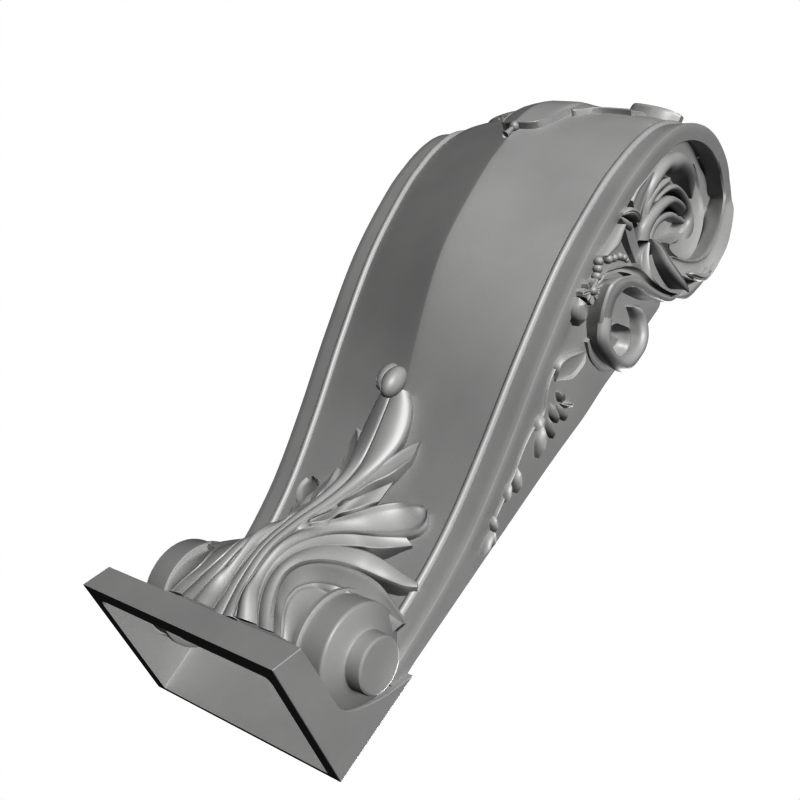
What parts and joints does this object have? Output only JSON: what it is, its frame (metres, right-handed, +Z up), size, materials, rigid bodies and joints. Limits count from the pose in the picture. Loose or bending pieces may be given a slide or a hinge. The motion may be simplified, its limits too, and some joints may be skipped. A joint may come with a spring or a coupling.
{
  "type": "carved bracket",
  "caption": "S-shaped scroll bracket with an acanthus leaf over a turned roll, carved side volutes, a crest shield and a hollow foot collar.",
  "frame": {"origin": "middle of the flat back face, where the bracket is fixed to the wall", "axes": "+Z up, +Y into the wall, so the carved front faces -Y; +X to the right as seen from the front"},
  "size_m": [0.2722, 0.1353, 0.5569],
  "materials": {
    "cast_stone": "matt, plain mid grey"
  },
  "bodies": {
    "root": {"bracket_body": "cast_stone", "foot_collar": "cast_stone"}
  },
  "joints": []
}
